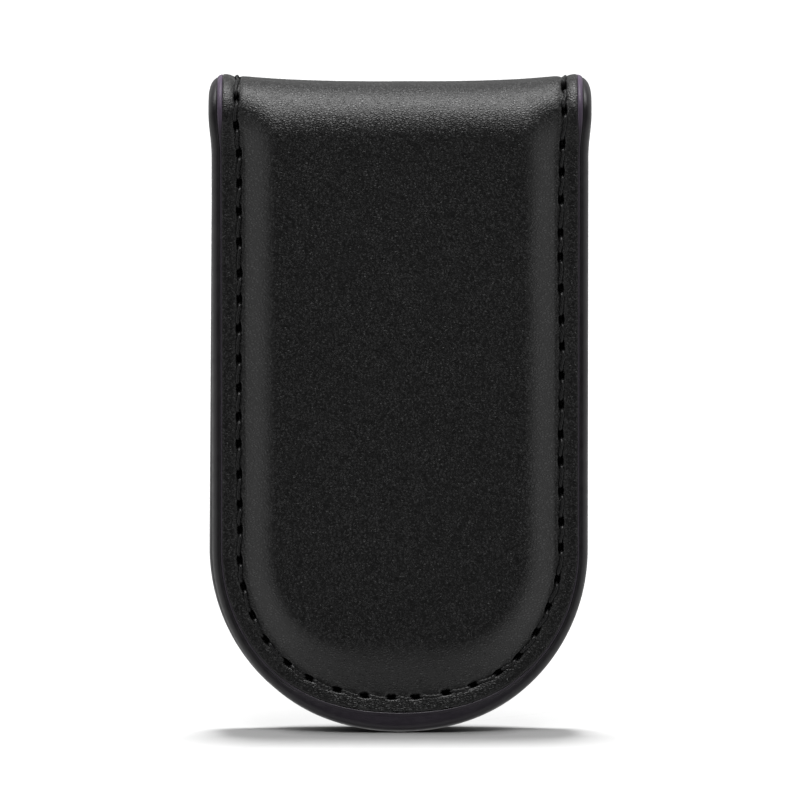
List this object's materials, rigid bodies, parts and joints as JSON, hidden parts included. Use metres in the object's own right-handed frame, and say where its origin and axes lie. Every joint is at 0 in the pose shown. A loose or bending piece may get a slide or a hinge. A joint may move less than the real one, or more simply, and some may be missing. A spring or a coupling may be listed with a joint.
{
  "type": "money clip",
  "caption": "Leather money clip: a lined strap folded over at the top, with magnets under padded leaves that hold folded notes between them.",
  "frame": {"origin": "middle of the closed clip's width and thickness, level with the lowest point of its leaf tips", "axes": "+Z from the leaf tips up to the fold, +X along the strap's width, the front leaf faces -Y and the back leaf faces +Y"},
  "size_m": [0.0452, 0.0098, 0.0776],
  "materials": {
    "outer_leather": "black pebbled grain, low sheen",
    "lining_leather": "black, fine smooth grain, matt",
    "edge_coat": "dark burnished edge paint with a faint purple cast",
    "thread": "black waxed twisted thread",
    "insert_board": "brown leather fibre board, unfinished",
    "magnet": "nickel plated"
  },
  "bodies": {
    "front_leaf": {"front_outer_leather": "outer_leather", "front_lining": "lining_leather", "front_edge_coat": "edge_coat", "front_insert_board": "insert_board", "front_upper_magnet": "magnet", "front_lower_magnet": "magnet", "front_needle_thread": "thread", "front_bobbin_thread": "thread"},
    "fold_front": {"fold_front_leather": "outer_leather", "fold_front_lining": "lining_leather", "fold_front_left_thread": "thread", "fold_front_right_thread": "thread"},
    "fold_back": {"fold_back_leather": "outer_leather", "fold_back_lining": "lining_leather", "fold_back_left_thread": "thread", "fold_back_right_thread": "thread"},
    "back_leaf": {"back_outer_leather": "outer_leather", "back_lining": "lining_leather", "back_edge_coat": "edge_coat", "back_insert_board": "insert_board", "back_upper_magnet": "magnet", "back_lower_magnet": "magnet", "back_needle_thread": "thread", "back_bobbin_thread": "thread"}
  },
  "joints": [
    {"name": "front_bend", "type": "hinge", "parent": "front_leaf", "child": "fold_front", "pos_m": [0, -0.00195, 0.07451], "axis": [1, 0, 0], "range_deg": [0, 45], "stiffness_Nm_per_rad": 0.015, "springref_deg": -22.92},
    {"name": "crown_bend", "type": "hinge", "parent": "fold_front", "child": "fold_back", "pos_m": [0, 0, 0.07564], "axis": [1, 0, 0], "range_deg": [0, 45], "stiffness_Nm_per_rad": 0.015, "springref_deg": -22.92},
    {"name": "back_bend", "type": "hinge", "parent": "fold_back", "child": "back_leaf", "pos_m": [0, 0.00195, 0.07451], "axis": [1, 0, 0], "range_deg": [0, 45], "stiffness_Nm_per_rad": 0.015, "springref_deg": -22.92}
  ],
  "couplings": [
    {"joint": "crown_bend", "follows": "front_bend", "ratio": 1},
    {"joint": "back_bend", "follows": "front_bend", "ratio": 1}
  ]
}
